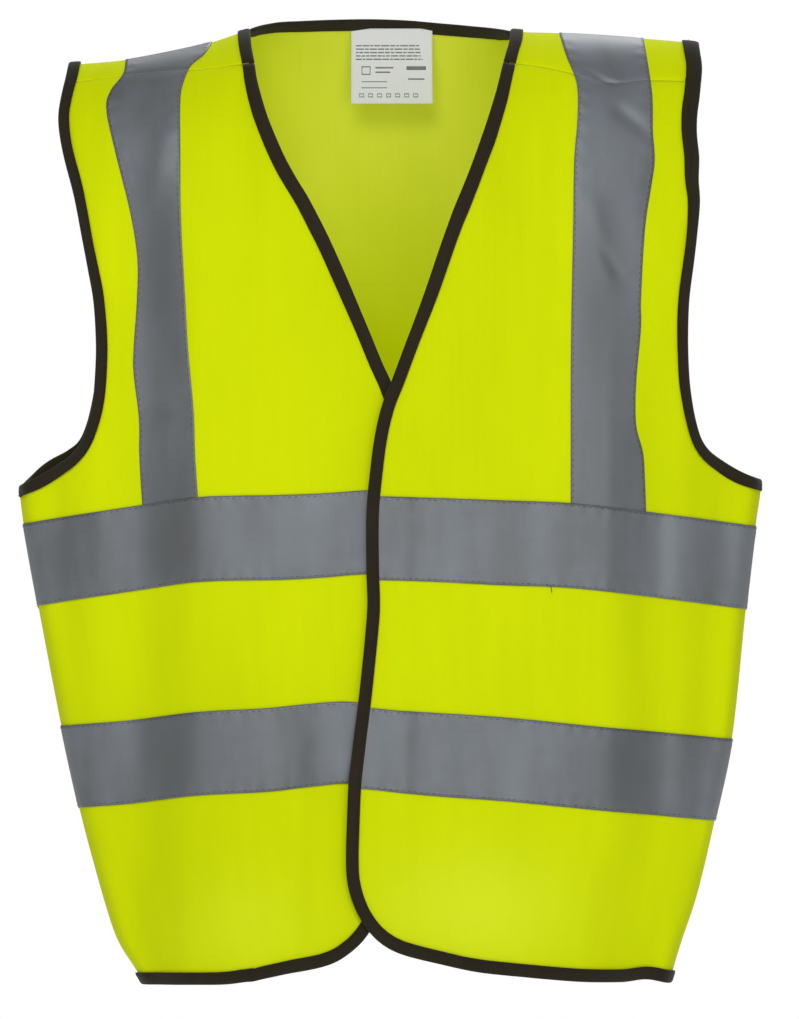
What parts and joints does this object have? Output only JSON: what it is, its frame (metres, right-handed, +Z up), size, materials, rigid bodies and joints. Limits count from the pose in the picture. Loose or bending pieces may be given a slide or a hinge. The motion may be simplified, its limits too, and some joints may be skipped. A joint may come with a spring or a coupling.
{
  "type": "high visibility vest",
  "caption": "Sleeveless V-neck safety vest of fluorescent cloth with reflective tapes, dark edge binding and an overlapping front that opens.",
  "frame": {"origin": "halfway between the two neck points, on the line where the wearer's shoulders carry the vest", "axes": "+Z up, -Y is the front, +X is the wearer's left (the viewer's right when the vest is seen from the front)"},
  "size_m": [0.4558, 0.1673, 0.5901],
  "materials": {
    "cloth": "fluorescent knitted polyester, matt",
    "tape": "retroreflective beaded tape, satin grey",
    "binding": "woven polyester binding, matt",
    "hook": "nylon hooks",
    "loop": "nylon loop pile",
    "label": "woven satin label, blank"
  },
  "bodies": {
    "torso": {"back_panel": "cloth", "front_panel_right": "cloth", "front_panel_left": "cloth", "upper_tape_right": "tape", "upper_tape_left": "tape", "upper_tape_back": "tape", "lower_tape_right": "tape", "lower_tape_left": "tape", "lower_tape_back": "tape", "shoulder_tape_front_right": "tape", "shoulder_tape_front_left": "tape", "shoulder_tape_back_right": "tape", "shoulder_tape_back_left": "tape", "neck_binding_back": "binding", "hem_binding_back": "binding", "armhole_binding_right": "binding", "armhole_binding_left": "binding", "edge_binding_right_neck": "binding", "edge_binding_right_hem": "binding", "edge_binding_left_neck": "binding", "edge_binding_left_hem": "binding"},
    "left_front": {"front_panel_left_flap": "cloth", "upper_tape_left_flap": "tape", "lower_tape_left_flap": "tape", "edge_binding_left_flap": "binding", "hook_patch_top": "hook", "hook_patch_middle": "hook", "hook_patch_bottom": "hook"},
    "right_front": {"front_panel_right_flap": "cloth", "upper_tape_right_flap": "tape", "lower_tape_right_flap": "tape", "edge_binding_right_flap": "binding", "loop_patch_top": "loop", "loop_patch_middle": "loop", "loop_patch_bottom": "loop"},
    "label": {"size_label": "label"}
  },
  "joints": [
    {"name": "left_front_turn", "type": "hinge", "parent": "torso", "child": "left_front", "pos_m": [0.052, -0.086, 0], "axis": [-0.0908, -0.0103, 0.9958], "range_deg": [0, 110]},
    {"name": "right_front_turn", "type": "hinge", "parent": "torso", "child": "right_front", "pos_m": [-0.062, -0.086, 0], "axis": [-0.0738, 0.0103, -0.9972], "range_deg": [0, 72]},
    {"name": "label_turn", "type": "hinge", "parent": "torso", "child": "label", "pos_m": [0.001, 0.0427, 0.0004], "axis": [-1, 0, 0], "range_deg": [0, 120]}
  ],
  "couplings": [
    {"joint": "right_front_turn", "follows": "left_front_turn", "ratio": 0.65}
  ]
}
